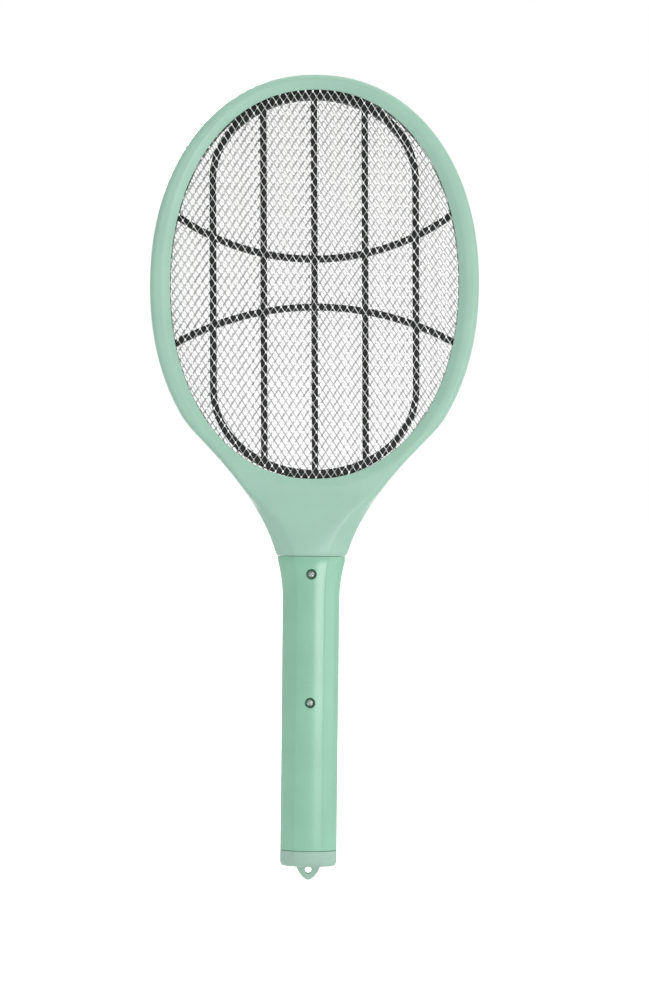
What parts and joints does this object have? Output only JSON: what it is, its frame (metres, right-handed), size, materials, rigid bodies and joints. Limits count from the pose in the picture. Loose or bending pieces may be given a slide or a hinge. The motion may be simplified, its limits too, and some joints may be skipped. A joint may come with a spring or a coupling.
{
  "type": "electric fly swatter",
  "caption": "Battery-powered racket for killing flying insects: an oval ring holds a high-voltage mesh between guard meshes, on a straight grip with a push button, power switch and end cap.",
  "frame": {"origin": "centre of the hand grip, on the axis of the handle", "axes": "+Z along the handle towards the tip of the head; -Y out of the rear face, which has the handle screws; +Y out of the front face, which has the controls; +X to the right when the rear face is looked at"},
  "size_m": [0.1968, 0.0269, 0.4822],
  "materials": {
    "head_plastic": "satin moulded ABS, mint green",
    "handle_plastic": "satin moulded ABS, mint green",
    "cap_plastic": "satin moulded ABS, pale grey-green",
    "guard_metal": "bright expanded aluminium mesh",
    "centre_metal": "bright expanded aluminium mesh",
    "spacer_plastic": "dark grey moulded insulator",
    "control_plastic": "off-white moulded buttons",
    "lens_plastic": "red tinted epoxy",
    "screw_steel": "zinc plated",
    "contact_steel": "nickel plated spring steel",
    "switch_steel": "tin plated",
    "switch_plastic": "black moulded",
    "board_laminate": "green circuit board laminate",
    "ferrite": "sintered ferrite",
    "winding_copper": "enamelled copper wire",
    "component_epoxy": "black epoxy",
    "capacitor_film": "red-brown dipped film",
    "cell_wrap": "plain printed sleeve",
    "lead_red": "PVC insulation",
    "lead_black": "PVC insulation"
  },
  "bodies": {
    "racket": {"head_frame_rear": "head_plastic", "head_frame_front": "head_plastic", "rear_guard_mesh": "guard_metal", "front_guard_mesh": "guard_metal", "centre_mesh": "centre_metal", "rear_spacer_grid": "spacer_plastic", "front_spacer_grid": "spacer_plastic", "handle_rear_shell": "handle_plastic", "handle_front_shell": "handle_plastic", "upper_handle_screw": "screw_steel", "lower_handle_screw": "screw_steel", "push_switch_body": "switch_plastic", "slide_switch_body": "switch_steel", "indicator_led": "lens_plastic", "circuit_board": "board_laminate", "transformer_core": "ferrite", "transformer_winding": "winding_copper", "output_capacitor": "capacitor_film", "multiplier_capacitor_1": "capacitor_film", "multiplier_capacitor_2": "capacitor_film", "rectifier_diode_1": "component_epoxy", "rectifier_diode_2": "component_epoxy", "rectifier_diode_3": "component_epoxy", "oscillator_transistor": "component_epoxy", "base_resistor": "component_epoxy", "bleed_resistor": "component_epoxy", "contact_carrier": "switch_plastic", "positive_contact": "contact_steel", "negative_contact": "contact_steel", "negative_spring": "contact_steel", "battery_left": "cell_wrap", "battery_right": "cell_wrap", "rear_guard_lead": "lead_black", "centre_mesh_lead": "lead_red", "front_guard_lead": "lead_black", "battery_lead_positive": "lead_red", "battery_lead_negative": "lead_black"},
    "trigger": {"trigger_button": "control_plastic", "push_switch_plunger": "switch_plastic"},
    "power_switch": {"power_switch_knob": "control_plastic", "slide_switch_lever": "switch_plastic"},
    "battery_cap": {"end_cap": "cap_plastic", "bridge_contact": "contact_steel", "bridge_spring": "contact_steel"}
  },
  "joints": [
    {"name": "trigger_press", "type": "slide", "parent": "racket", "child": "trigger", "axis": [0, -1, 0], "range_m": [0, 0.0015], "stiffness_N_per_m": 800, "springref_m": -0.001},
    {"name": "power_switch_slide", "type": "slide", "parent": "racket", "child": "power_switch", "axis": [0, 0, 1], "range_m": [0, 0.004]},
    {"name": "end_cap_pull", "type": "slide", "parent": "racket", "child": "battery_cap", "axis": [0, 0, -1], "range_m": [0, 0.03]}
  ]
}
